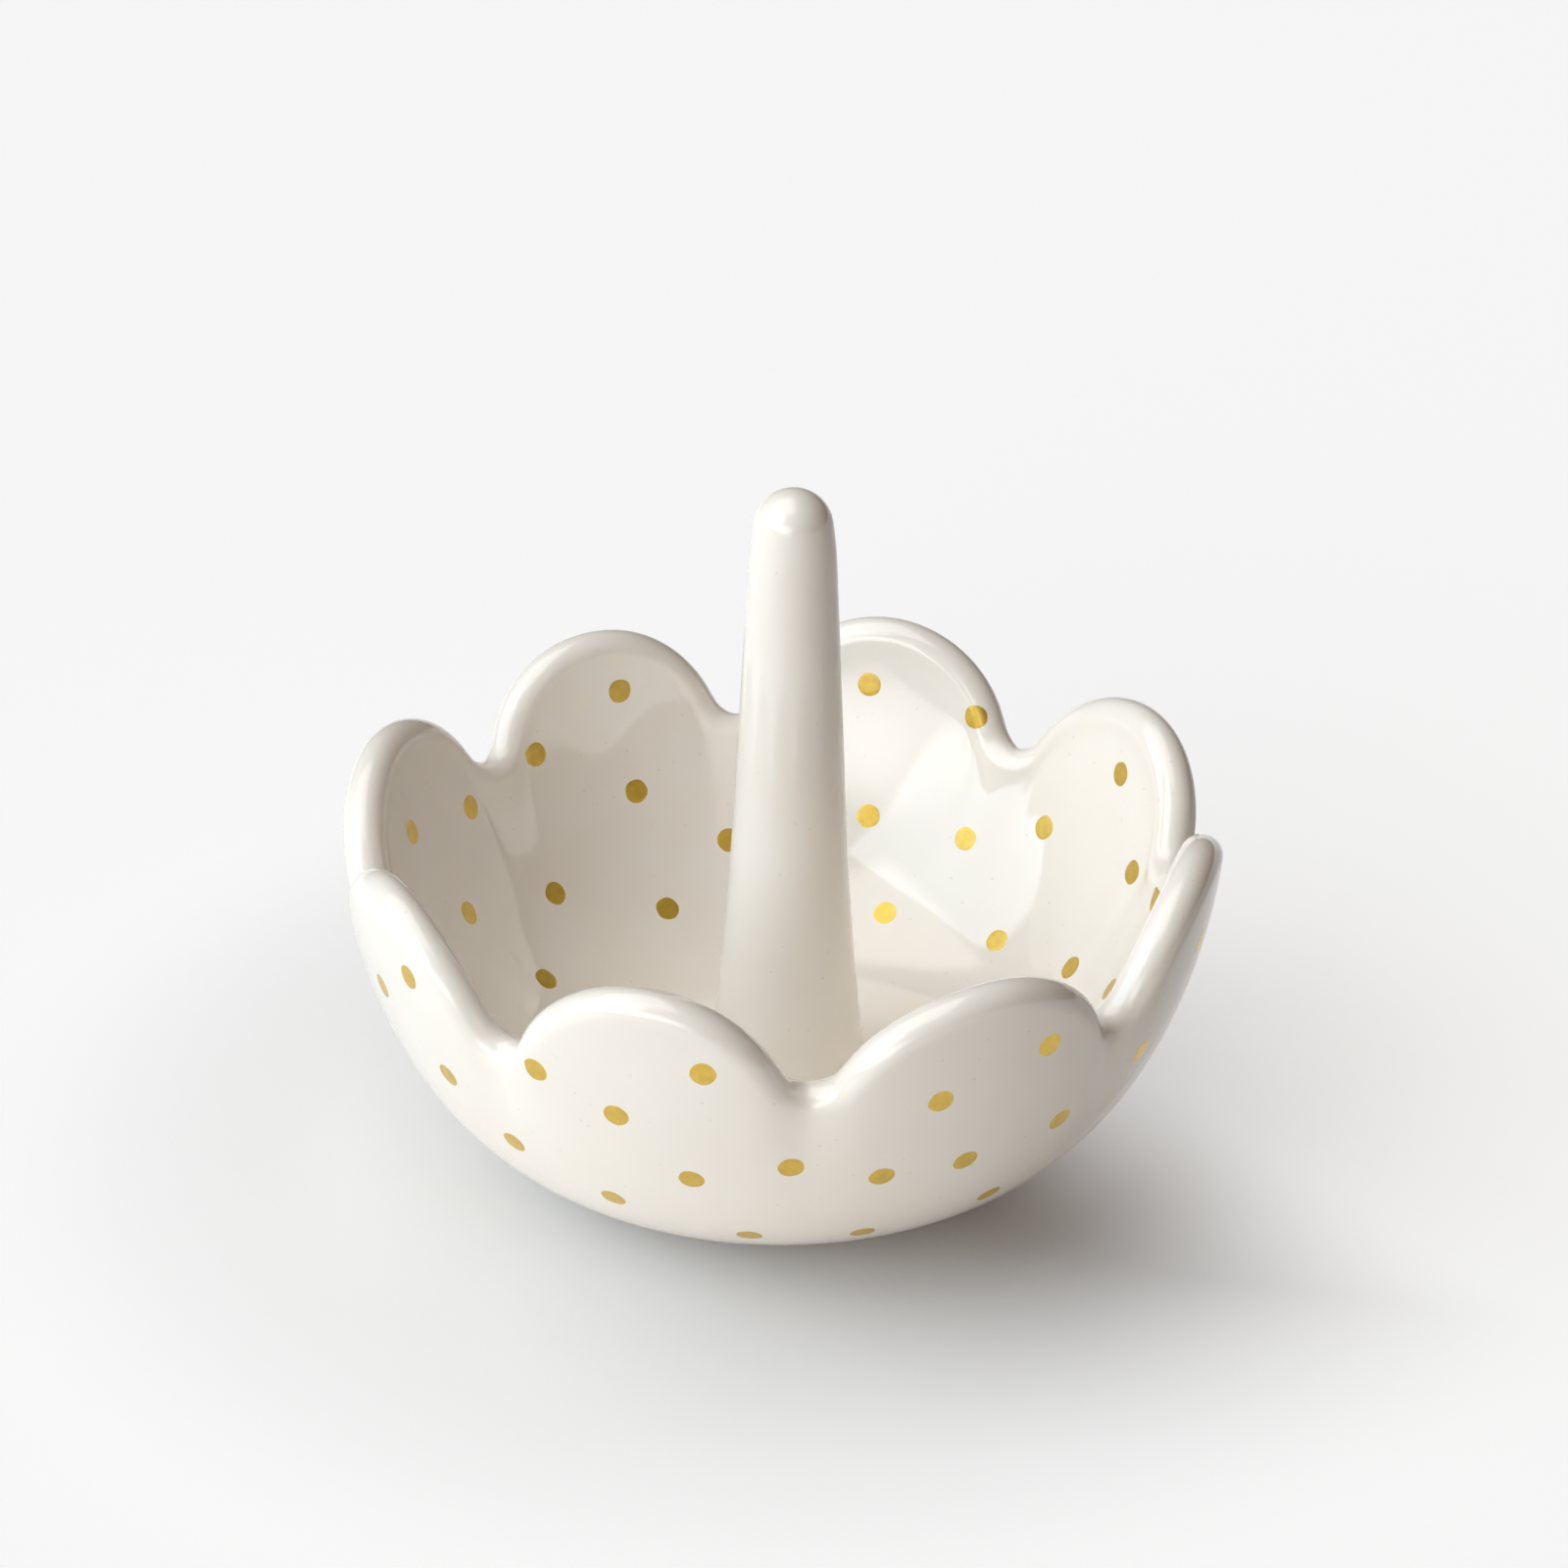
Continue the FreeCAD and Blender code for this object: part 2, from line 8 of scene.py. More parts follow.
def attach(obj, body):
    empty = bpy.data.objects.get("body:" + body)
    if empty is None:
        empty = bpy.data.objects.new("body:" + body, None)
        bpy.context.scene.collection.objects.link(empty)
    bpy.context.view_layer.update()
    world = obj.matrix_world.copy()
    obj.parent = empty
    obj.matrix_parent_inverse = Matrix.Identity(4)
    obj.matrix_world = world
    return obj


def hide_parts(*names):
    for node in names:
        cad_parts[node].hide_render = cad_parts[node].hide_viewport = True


# A glazed ceramic ring dish with eight petals, a post for rings and gold dots fired onto the glaze.
# Metres, +Z up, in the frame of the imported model. The front is -Y.

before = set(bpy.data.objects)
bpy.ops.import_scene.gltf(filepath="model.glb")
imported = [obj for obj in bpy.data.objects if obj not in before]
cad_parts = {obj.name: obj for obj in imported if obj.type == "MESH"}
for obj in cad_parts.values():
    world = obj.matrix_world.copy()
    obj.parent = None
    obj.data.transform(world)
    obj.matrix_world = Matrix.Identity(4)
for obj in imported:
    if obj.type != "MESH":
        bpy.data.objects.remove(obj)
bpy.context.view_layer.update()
MM = 0.001

# Sizes of the bowl, as in the part's source
PETALS = 8
PETAL_PITCH = 2 * math.pi / PETALS
FIRST_PETAL_ANGLE = math.radians(-106.5)
DISH_DIAMETER = 101.6 * MM
PETAL_HEIGHT = 44.2 * MM
NOTCH_DEPTH = 11.9 * MM
NOTCH_RADIUS = 6.0 * MM
WALL_THICKNESS = 5.0 * MM
WALL_GROWTH = 3.2 * MM
CROWN_RISE = 1.8 * MM
BASE_FLAT = 0.5 * MM
CREASE_DEPTH = 0.9 * MM
CREASE_WIDTH = 4.0 * MM
FOOT_RING_WIDTH = 3.5 * MM
FOOT_RECESS_DEPTH = 1.0 * MM
FLOOR_MARGIN = 0.6 * MM
RISE_POWER = 1.65
REACH_POWER = 4.1
GROWTH_POWER = 2.2
LIP_POWER = 20
CREASE_POWER = 6
PETAL_BLEND_POWER = 4
PETAL_TURN_SHARES = np.array((-0.03, -0.01, 0.03, -0.04, 0.04, 0.0, -0.02, -0.05))
PETAL_RISE_SHARES = np.array((0.01, -0.06, 0.01, 0.03, 0.03, -0.01, 0.01, 0.01))
NOTCH_TURN_SHARES = np.array((-0.08, -0.01, 0.03, 0.03, 0.04, -0.05, 0.10, -0.02))
NOTCH_RISE_SHARES = np.array((0.04, -0.03, 0.04, 0.01, -0.03, 0.06, -0.06, -0.06))
DIFFERENCE_STEP = 1e-4
LEAN_LIMIT = math.pi / 4
LEAN_HALVINGS = 50

# Sizes of the post and of the slip that holds it
POST_OFFSET = 1.1 * MM
POST_HEIGHT = 73.7 * MM
TIP_RADIUS = 5.0 * MM
TIP_LENGTH = 9.3 * MM
TIP_DRAW = 0.5 * MM
TAPER_LENGTH = 29.6 * MM
WAIST_RADIUS = TIP_RADIUS + 1.4 * MM
ROOT_RADIUS = WAIST_RADIUS + 2.7 * MM
BASE_RADIUS = ROOT_RADIUS + 0.3 * MM
ROOT_HEIGHT = 2.0 * MM
SLIP_BED = 0.4 * MM
SLIP_RADIUS = BASE_RADIUS + 2.4 * MM
SLIP_HOLLOW_RADIUS = 3.2 * MM

# Dots on each petal: how far across from its middle, as a share of its half width, and how far up, as a
# share of the way from the base to the rim. Past 1 a dot climbs onto the round of the rim.
DOT_DIAMETER = 2.9 * MM
OUTSIDE_DOT_SHARES = (
    ((-0.65, 0.96), (-0.16, 0.83), (0.38, 0.95), (0.26, 0.70), (0.89, 0.83), (-0.35, 0.57), (0.61, 0.46)),
    ((-0.31, 0.88), (0.34, 0.94), (0.61, 0.77), (-0.07, 0.71), (-0.57, 0.73), (0.32, 0.52), (-0.57, 0.45)),
    ((-0.68, 0.85), (-0.13, 0.91), (0.46, 0.93), (0.32, 0.70), (0.80, 0.76), (0.14, 0.50), (0.66, 0.54)),
    ((-0.50, 0.90), (0.22, 0.94), (0.72, 0.80), (-0.12, 0.76), (-0.62, 0.66), (0.30, 0.60), (-0.28, 0.48)),
    ((-0.60, 0.84), (0.04, 0.93), (0.58, 0.90), (-0.16, 0.72), (0.46, 0.68), (-0.58, 0.58), (0.12, 0.50)),
    ((-0.36, 0.94), (0.40, 0.88), (0.02, 0.77), (-0.70, 0.72), (0.66, 0.66), (-0.26, 0.56), (0.38, 0.46)),
    ((-0.56, 0.89), (0.10, 0.94), (0.64, 0.82), (-0.10, 0.74), (-0.62, 0.62), (0.36, 0.60), (-0.18, 0.46)),
    ((-0.04, 0.86), (0.39, 0.96), (0.54, 0.80), (0.95, 0.72), (-0.74, 0.64), (-0.34, 0.46), (0.16, 0.36)),
)
INSIDE_DOT_SHARES = (
    ((-0.30, 0.93), (0.42, 0.88), (0.04, 0.76), (-0.58, 0.70), (0.52, 0.62), (-0.16, 0.50)),
    ((0.20, 0.94), (-0.46, 0.88), (0.60, 0.76), (-0.10, 0.74), (0.24, 0.54), (-0.52, 0.58)),
    ((-0.26, 0.90), (0.36, 0.93), (-0.60, 0.70), (0.08, 0.73), (0.80, 0.96), (0.52, 0.68), (-0.10, 0.48)),
    ((0.42, 0.48), (-0.05, 0.93), (0.51, 0.80), (-0.64, 0.87), (-0.62, 0.58)),
    ((0.08, 0.93), (-0.68, 1.19), (-0.02, 0.69), (-0.37, 0.43), (-0.87, 0.76)),
    ((-0.11, 0.94), (0.66, 0.94), (-0.13, 0.76), (0.92, 0.63), (-0.15, 0.44), (-0.88, 0.67)),
    ((-0.62, 0.89), (0.18, 0.89), (-0.08, 0.68), (-0.36, 0.39), (0.62, 0.74)),
    ((-0.40, 0.90), (0.34, 0.94), (0.02, 0.74), (0.60, 0.68), (-0.54, 0.58), (0.18, 0.50)),
)
DOT_SHARES = {"outside": OUTSIDE_DOT_SHARES, "inside": INSIDE_DOT_SHARES}

HALF_WALL = WALL_THICKNESS / 2
RIM_TOP = PETAL_HEIGHT - HALF_WALL
WALL_REACH = DISH_DIAMETER / 2 - HALF_WALL
WALL_CROWN = RIM_TOP + CROWN_RISE
WALL_FLOOR = HALF_WALL - BASE_FLAT
HALF_PETAL_LENGTH = PETAL_PITCH / 2 * WALL_REACH
FLOOR_RADIUS = SLIP_RADIUS + POST_OFFSET + FLOOR_MARGIN


# The bowl's shape, by the same formula as its solid
def unit(vectors):
    """Vectors of length 1."""
    return vectors / np.linalg.norm(vectors, axis=-1, keepdims=True)


def petal_place(turn):
    """Split turns, counted in petals, into petal numbers and shares across from a petal's middle."""
    petal = np.floor(turn + 0.5)
    return petal.astype(int) % PETALS, 2 * (turn - petal)


def trimmed(turn, petal_shares, notch_shares):
    """Blend the shares of a petal and of the notch beside it."""
    petal, across = petal_place(turn)
    notch = np.where(across > 0, petal, petal - 1)
    weight = np.cos(math.pi * across / 2) ** 2
    return petal_shares[petal] * weight + notch_shares[notch] * (1 - weight)


def wall_angle(turn):
    """Angle about the dish's axis."""
    shift = trimmed(turn, PETAL_TURN_SHARES, NOTCH_TURN_SHARES)
    return FIRST_PETAL_ANGLE + PETAL_PITCH * turn + PETAL_PITCH / 2 * shift


def rim_height(turn):
    """Height of the rim's middle line: a petal's arc runs tangent into the round of the notch."""
    across = petal_place(turn)[1]
    petal_radius = (HALF_PETAL_LENGTH ** 2 + NOTCH_DEPTH ** 2) / (2 * NOTCH_DEPTH) - NOTCH_RADIUS
    along = np.abs(across) * HALF_PETAL_LENGTH
    on_petal = along * (petal_radius + NOTCH_RADIUS) < HALF_PETAL_LENGTH * petal_radius
    petal_drop = petal_radius - np.sqrt(np.maximum(petal_radius ** 2 - along ** 2, 0))
    notch_rise = np.sqrt(np.maximum(NOTCH_RADIUS ** 2 - (HALF_PETAL_LENGTH - along) ** 2, 0))
    drop = np.where(on_petal, petal_drop, NOTCH_DEPTH - NOTCH_RADIUS + notch_rise)
    return RIM_TOP - drop + NOTCH_DEPTH * trimmed(turn, PETAL_RISE_SHARES, NOTCH_RISE_SHARES)


def lean_at_height(height):
    """Lean of the wall's middle line at a height: 0 mid floor, a quarter turn at the crown."""
    return np.arccos(((WALL_CROWN - height) / (WALL_CROWN - WALL_FLOOR)) ** (RISE_POWER / 2))


def rim_lean(turn):
    """Lean of the wall's middle line where it reaches the rim."""
    return lean_at_height(rim_height(turn))


def wall_middle(turn, lean):
    """Points of the wall's middle surface."""
    radius = WALL_REACH * np.sin(lean) ** (2 / REACH_POWER)
    height = WALL_CROWN - (WALL_CROWN - WALL_FLOOR) * np.cos(lean) ** (2 / RISE_POWER)
    from_notch = (1 - np.abs(petal_place(turn)[1])) * HALF_PETAL_LENGTH
    press = np.exp(-((from_notch / CREASE_WIDTH) ** 2)) * (lean / rim_lean(turn)) ** CREASE_POWER
    radius = radius - CREASE_DEPTH * press
    angle = wall_angle(turn)
    return np.stack((radius * np.cos(angle), radius * np.sin(angle), height), axis=-1)


def wall_normal(turn, lean):
    """Outward directions of the wall's middle surface."""
    step = DIFFERENCE_STEP
    along = wall_middle(turn + step, lean) - wall_middle(turn - step, lean)
    upward = wall_middle(turn, lean + step) - wall_middle(turn, lean - step)
    return unit(np.cross(along, upward))


def wall_growth(climb):
    """How much thicker the wall is than at its lip, all of it on the inside."""
    return WALL_GROWTH * (1 - climb ** GROWTH_POWER) * (1 - climb ** LIP_POWER)


def skin_point(turn, lean, offset):
    """Points at an offset, outwards, from the wall's middle surface."""
    return wall_middle(turn, lean) + wall_normal(turn, lean) * offset[..., None]


def rim_point(turn, over):
    """Points of the rounded rim: over is 0 on the outside face, pi / 2 on top and pi on the inside face."""
    step = DIFFERENCE_STEP
    lean = rim_lean(turn)
    normal = wall_normal(turn, lean)
    after = wall_middle(turn + step, rim_lean(turn + step))
    before = wall_middle(turn - step, rim_lean(turn - step))
    upward = unit(np.cross(normal, unit(after - before)))
    round_part = normal * np.cos(over)[..., None] + upward * np.sin(over)[..., None]
    return wall_middle(turn, lean) + round_part * HALF_WALL


def lean_where(reached):
    """Least lean at which a test that turns true on the way up holds, found by halving."""
    low, high = DIFFERENCE_STEP * 2, LEAN_LIMIT
    for halving in range(LEAN_HALVINGS):
        middle = (low + high) / 2
        if reached(middle):
            high = middle
        else:
            low = middle
    return high


def first_petal_skin(lean, offset):
    """One point of the skin at the first petal's middle."""
    return skin_point(np.zeros(1), np.full(1, lean), np.full(1, offset))[0]


FLOOR_OFFSET = -HALF_WALL - WALL_GROWTH
foot_lean = lean_where(lambda lean: first_petal_skin(lean, HALF_WALL)[2] > 0)
floor_lean = lean_where(lambda lean: np.hypot(*first_petal_skin(lean, FLOOR_OFFSET)[:2]) > FLOOR_RADIUS)
notch_lean = float(lean_at_height(RIM_TOP - NOTCH_DEPTH))
foot_radius = float(np.hypot(*first_petal_skin(foot_lean, HALF_WALL)[:2]))
floor_level = float(first_petal_skin(floor_lean, FLOOR_OFFSET)[2])


def station_point(turn, station):
    """Points of the skin: station 0 at the foot, 1 to 3 over the rim's round and 4 at the floor."""
    outside = station < 2
    climb = np.clip(np.where(outside, station, 4 - station), 0, 1)
    offset = np.where(outside, HALF_WALL, -HALF_WALL - wall_growth(climb))
    base = np.where(outside, foot_lean, floor_lean)
    lean = base + (notch_lean - base) * climb + (rim_lean(turn) - notch_lean) * climb ** PETAL_BLEND_POWER
    on_rim = (station > 1) & (station < 3)
    over = (station - 1) * math.pi / 2
    return np.where(on_rim[..., None], rim_point(turn, over), skin_point(turn, lean, offset))


# Meshes
def add_piece(name, points, faces, materials, sharp_degrees=40):
    """A smooth mesh object that rides on the part's only body."""
    mesh = bpy.data.meshes.new(name)
    mesh.from_pydata([tuple(point) for point in points], [], faces)
    mesh.validate()
    for material in materials:
        mesh.materials.append(material)
    mesh.polygons.foreach_set("use_smooth", [True] * len(mesh.polygons))
    mesh.set_sharp_from_angle(angle=math.radians(sharp_degrees))
    mesh.update()
    piece = bpy.data.objects.new(name, mesh)
    bpy.context.scene.collection.objects.link(piece)
    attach(piece, "root")
    return piece


def closed_rows(rows, low_end, high_end):
    """Points and faces of a closed skin: rows of points around an axis, with a point at each end."""
    count = len(rows[0])
    points = [low_end, *(point for row in rows for point in row), high_end]
    faces = []
    for column in range(count):
        after = (column + 1) % count
        faces.append((0, 1 + after, 1 + column))
        for row in range(len(rows) - 1):
            here, above = 1 + row * count, 1 + (row + 1) * count
            faces.append((here + column, here + after, above + after, above + column))
        top = 1 + (len(rows) - 1) * count
        faces.append((top + column, top + after, len(points) - 1))
    return points, faces


TURNS_PER_PETAL = 48
WALL_STEPS = 56
RIM_ROUND_STEPS = 26
WALL_STEP_POWER = 0.85
EDGE_ROUND = 0.3 * MM
EDGE_STEPS = 4
RECESS_RING_SHARES = (0.3, 0.6, 0.85, 0.95)
FLOOR_RING_SHARES = (0.93, 0.8, 0.5, 0.25)


def dish_rows():
    """Rings of the bowl: out along its underside, up the outside, over the rim and down to the floor."""
    turns = np.arange(PETALS * TURNS_PER_PETAL) / TURNS_PER_PETAL
    angles = wall_angle(turns)
    round_way = np.stack((np.cos(angles), np.sin(angles), np.zeros(len(turns))), axis=-1)
    recess_radius = foot_radius - FOOT_RING_WIDTH

    def circle(radius, height):
        return round_way * radius + np.array((0, 0, height))

    rows = [circle(recess_radius * share, FOOT_RECESS_DEPTH) for share in RECESS_RING_SHARES]
    for step in range(EDGE_STEPS + 1):
        angle = math.pi / 2 * step / EDGE_STEPS
        inset = EDGE_ROUND * (1 - math.sin(angle))
        rows.append(circle(recess_radius - inset, FOOT_RECESS_DEPTH - EDGE_ROUND * (1 - math.cos(angle))))
    for step in range(EDGE_STEPS + 1):
        angle = math.pi / 2 * step / EDGE_STEPS
        rise = EDGE_ROUND * (1 - math.sin(angle))
        rows.append(circle(recess_radius + EDGE_ROUND * (1 - math.cos(angle)), rise))
    rows.append(circle((recess_radius + foot_radius) / 2, 0))
    rows.append(circle(foot_radius - EDGE_ROUND, 0))
    climbs = (np.arange(WALL_STEPS + 1) / WALL_STEPS) ** WALL_STEP_POWER
    stations = [*climbs, *(1 + 2 * np.arange(1, RIM_ROUND_STEPS) / RIM_ROUND_STEPS), *(4 - climbs[::-1])]
    for station in stations:
        rows.append(station_point(turns, np.full(len(turns), station)))
    for share in FLOOR_RING_SHARES:
        rows.append(circle(FLOOR_RADIUS * share, floor_level))
    return rows


def add_dish(materials):
    """The petalled bowl."""
    points, faces = closed_rows(dish_rows(), (0, 0, FOOT_RECESS_DEPTH), (0, 0, floor_level))
    return add_piece("glazed_bowl", points, faces, materials)


# Turned pieces
TURNED_SEGMENTS = 128
ROOT_STEPS = 3
FLARE_STEPS = 36
TAPER_STEPS = 30
SHOULDER_STEPS = 16
NOSE_STEPS = 18
HOLLOW_STEPS = 12


def arc_points(start, end, centre, steps):
    """Points along the shorter arc from start to end about a centre, without the start."""
    first = math.atan2(start[1] - centre[1], start[0] - centre[0])
    sweep = math.atan2(end[1] - centre[1], end[0] - centre[0]) - first
    sweep = (sweep + math.pi) % (2 * math.pi) - math.pi
    radius = np.linalg.norm(start - centre)
    angles = first + sweep * np.arange(1, steps + 1) / steps
    return [centre + radius * np.array((math.cos(angle), math.sin(angle))) for angle in angles]


def line_points(start, end, steps):
    """Points along a line, without the start."""
    return [start + (end - start) * step / steps for step in range(1, steps + 1)]


def turned_rows(profile, base_height):
    """Rings of points, one for each radius and height of the profile, about the post's axis."""
    angles = 2 * math.pi * np.arange(TURNED_SEGMENTS) / TURNED_SEGMENTS
    rows = []
    for radius, height in profile:
        x, y = POST_OFFSET + radius * np.cos(angles), radius * np.sin(angles)
        rows.append(np.stack((x, y, np.full(TURNED_SEGMENTS, base_height + height)), axis=-1))
    return rows


def post_profile():
    """Radius and height along the post: root, flare, slim taper, shoulder and round nose."""
    base = np.array((BASE_RADIUS, 0.0))
    root = np.array((ROOT_RADIUS, ROOT_HEIGHT))
    shoulder = np.array((TIP_RADIUS, POST_HEIGHT - TIP_LENGTH))
    waist = np.array((WAIST_RADIUS, shoulder[1] - TAPER_LENGTH))
    nose_radius = TIP_RADIUS - TIP_DRAW
    nose_centre = np.array((0.0, POST_HEIGHT - nose_radius))
    across_taper = unit(np.array((shoulder[1] - waist[1], waist[0] - shoulder[0])))
    flare_chord = root - waist
    flare_centre = waist + across_taper * (flare_chord @ flare_chord / (2 * flare_chord @ across_taper))
    to_nose = shoulder - nose_centre
    nose_reach = nose_radius ** 2 - to_nose @ to_nose
    shoulder_radius = nose_reach / (2 * (nose_radius - to_nose @ across_taper))
    shoulder_centre = shoulder - across_taper * shoulder_radius
    nose_edge = nose_centre + unit(nose_centre - shoulder_centre) * nose_radius
    tip = np.array((0.0, POST_HEIGHT))
    return [
        base / 2, base, *line_points(base, root, ROOT_STEPS),
        *arc_points(root, waist, flare_centre, FLARE_STEPS),
        *line_points(waist, shoulder, TAPER_STEPS),
        *arc_points(shoulder, nose_edge, shoulder_centre, SHOULDER_STEPS),
        *arc_points(nose_edge, tip, nose_centre, NOSE_STEPS)[:-1],
    ]


def add_post(materials):
    """The tapered ring post."""
    base_height = floor_level + SLIP_BED
    rows = turned_rows(post_profile(), base_height)
    low_end = (POST_OFFSET, 0, base_height)
    points, faces = closed_rows(rows, low_end, (POST_OFFSET, 0, base_height + POST_HEIGHT))
    return add_piece("glazed_post", points, faces, materials)


def add_slip(materials):
    """The slip under and around the post's root."""
    toe = np.array((SLIP_RADIUS, 0.0))
    top = np.array((ROOT_RADIUS, SLIP_BED + ROOT_HEIGHT))
    bed_edge = np.array((BASE_RADIUS, SLIP_BED))
    chord = toe - top
    away = unit(np.array((-chord[1], chord[0])))
    rise = math.sqrt(SLIP_HOLLOW_RADIUS ** 2 - chord @ chord / 4)
    hollow_centre = (toe + top) / 2 + away * rise
    bed_middle = np.array((BASE_RADIUS / 2, SLIP_BED))
    profile = [
        toe / 2, toe, *arc_points(toe, top, hollow_centre, HOLLOW_STEPS),
        *line_points(top, bed_edge, ROOT_STEPS), bed_middle,
    ]
    rows = turned_rows(profile, floor_level)
    points, faces = closed_rows(rows, (POST_OFFSET, 0, floor_level), (POST_OFFSET, 0, floor_level + SLIP_BED))
    return add_piece("slip_round", points, faces, materials)


# Gold dots: thin patches of lustre that follow the glaze
DOT_SEGMENTS = 40
DOT_RING_SHARES = (0.3, 0.55, 0.75, 0.88, 0.96, 1.0)
DOT_RISE = 0.04 * MM
DOT_EDGE_POWER = 6
DOT_EDGE_FALL = 0.85
DOT_SINK = 0.02 * MM
DOT_WAVES = (2, 3, 4, 5)
DOT_WAVE_SHARE = 0.016
NEWTON_STEPS = 4
TURN_STEP = 1e-3
LENGTH_STEP = 0.02 * MM
LENGTH_STATIONS = np.linspace(0, 4, 801)


def station_lengths():
    """Length along the skin at the first petal, from the foot to each of many stations."""
    points = station_point(np.zeros(len(LENGTH_STATIONS)), LENGTH_STATIONS)
    steps = np.linalg.norm(np.diff(points, axis=0), axis=1)
    return np.concatenate(((0.0,), np.cumsum(steps)))


skin_lengths = station_lengths()


def skin_at(turn, length):
    """Points of the skin at turns and at lengths along the first petal's skin."""
    return station_point(turn, np.interp(length, skin_lengths, LENGTH_STATIONS))


def skin_frame(turn, length):
    """The skin's two derivatives and its outward directions."""
    along = (skin_at(turn + TURN_STEP, length) - skin_at(turn - TURN_STEP, length)) / (2 * TURN_STEP)
    onward = (skin_at(turn, length + LENGTH_STEP) - skin_at(turn, length - LENGTH_STEP)) / (2 * LENGTH_STEP)
    return along, onward, unit(np.cross(along, onward))


def dot_patch(turn, station, random):
    """Points and faces of one closed dot of lustre."""
    length = float(np.interp(station, LENGTH_STATIONS, skin_lengths))
    centre_turn, centre_length = np.full(1, turn), np.full(1, length)
    along, onward, normal = (vectors[0] for vectors in skin_frame(centre_turn, centre_length))
    centre = skin_at(centre_turn, centre_length)[0]
    first = unit(along)
    second = np.cross(normal, first)
    flatten = np.linalg.inv(np.array(((along @ first, onward @ first), (along @ second, onward @ second))))
    angles = 2 * math.pi * np.arange(DOT_SEGMENTS) / DOT_SEGMENTS
    edge = np.ones(DOT_SEGMENTS)
    for wave in DOT_WAVES:
        size, phase = random.uniform(-1, 1), random.uniform(0, 2 * math.pi)
        edge += DOT_WAVE_SHARE * size * np.cos(wave * angles + phase)
    shares = np.array(DOT_RING_SHARES)
    reach = (shares[:, None] * edge * DOT_DIAMETER / 2).ravel()
    spin = np.tile(angles, len(shares))
    flat = np.stack((reach * np.cos(spin), reach * np.sin(spin)), axis=-1)
    place = flat @ flatten.T
    for step in range(NEWTON_STEPS):
        offset = skin_at(turn + place[:, 0], length + place[:, 1]) - centre
        missing = flat - np.stack((offset @ first, offset @ second), axis=-1)
        place = place + missing @ flatten.T
    turns, lengths = turn + place[:, 0], length + place[:, 1]
    normals = skin_frame(turns, lengths)[2]
    heights = np.repeat(DOT_RISE * (1 - DOT_EDGE_FALL * shares ** DOT_EDGE_POWER), DOT_SEGMENTS)
    base = skin_at(turns, lengths)
    top_rows = (base + normals * heights[:, None]).reshape(len(shares), DOT_SEGMENTS, 3)
    low_rows = (base - normals * DOT_SINK).reshape(len(shares), DOT_SEGMENTS, 3)
    rows = [*low_rows, *top_rows[::-1]]
    return closed_rows(rows, centre - normal * DOT_SINK, centre + normal * DOT_RISE)


def add_dots(petal, face, materials):
    """All the dots on one face of one petal."""
    random = np.random.default_rng(PETALS * (face == "inside") + petal)
    all_points, all_faces = [], []
    for across, climb in DOT_SHARES[face][petal]:
        station = climb if face == "outside" else 4 - climb
        points, faces = dot_patch(petal + across / 2, station, random)
        shift = len(all_points)
        all_points.extend(points)
        all_faces.extend(tuple(corner + shift for corner in corners) for corners in faces)
    return add_piece("gold_dots_petal_%d_%s" % (petal + 1, face), all_points, all_faces, materials)


# Materials
def new_material(name):
    """A node material with its Principled shader."""
    material = bpy.data.materials.new(name)
    material.use_nodes = True
    nodes, links = material.node_tree.nodes, material.node_tree.links
    return material, nodes, links, nodes["Principled BSDF"]


def add_noise(nodes, links, place, scale, detail=2.0, roughness=0.5):
    """A noise texture in the part's own metres."""
    noise = nodes.new("ShaderNodeTexNoise")
    noise.inputs["Scale"].default_value = scale
    noise.inputs["Detail"].default_value = detail
    noise.inputs["Roughness"].default_value = roughness
    links.new(place, noise.inputs["Vector"])
    return noise.outputs["Fac"]


def add_range(nodes, links, value, low, high, from_low=0.3, from_high=0.7):
    """A value stretched to a range."""
    stretch = nodes.new("ShaderNodeMapRange")
    stretch.inputs["From Min"].default_value = from_low
    stretch.inputs["From Max"].default_value = from_high
    stretch.inputs["To Min"].default_value = low
    stretch.inputs["To Max"].default_value = high
    links.new(value, stretch.inputs["Value"])
    return stretch.outputs["Result"]


def add_mix(nodes, links, factor, first, second):
    """A colour mixed from two, each a colour or another node's output."""
    mix = nodes.new("ShaderNodeMix")
    mix.data_type = "RGBA"
    links.new(factor, mix.inputs["Factor"])
    for name, source in (("A", first), ("B", second)):
        socket = next(item for item in mix.inputs if item.name == name and item.type == "RGBA")
        if isinstance(source, tuple):
            socket.default_value = source
        else:
            links.new(source, socket)
    return next(item for item in mix.outputs if item.type == "RGBA")


def add_bump(nodes, links, shader, height, strength, distance):
    """Give a shader a bump of a height map's strength and depth."""
    bump = nodes.new("ShaderNodeBump")
    bump.inputs["Strength"].default_value = strength
    bump.inputs["Distance"].default_value = distance
    links.new(height, bump.inputs["Height"])
    links.new(bump.outputs["Normal"], shader.inputs["Normal"])


GLAZE_LIGHT = (0.955, 0.912, 0.850, 1)
GLAZE_WARM = (0.940, 0.880, 0.802, 1)
SPECK_COLOUR = (0.42, 0.36, 0.29, 1)
SPECK_STRENGTH = 0.22
SPECK_RADII = (0.03, 0.09)
SPECK_SCALE = 420.0
DRIFT_SCALE = 70.0
SMEAR_SCALE = 160.0
SMEAR_DETAIL = 3.0
GLAZE_ROUGHNESS = (0.025, 0.06)
GLAZE_IOR = 1.65
WAVE_SCALE = 130.0
WAVE_DETAIL = 1.0
WAVE_STRENGTH = 0.25
WAVE_HEIGHT = 0.06 * MM


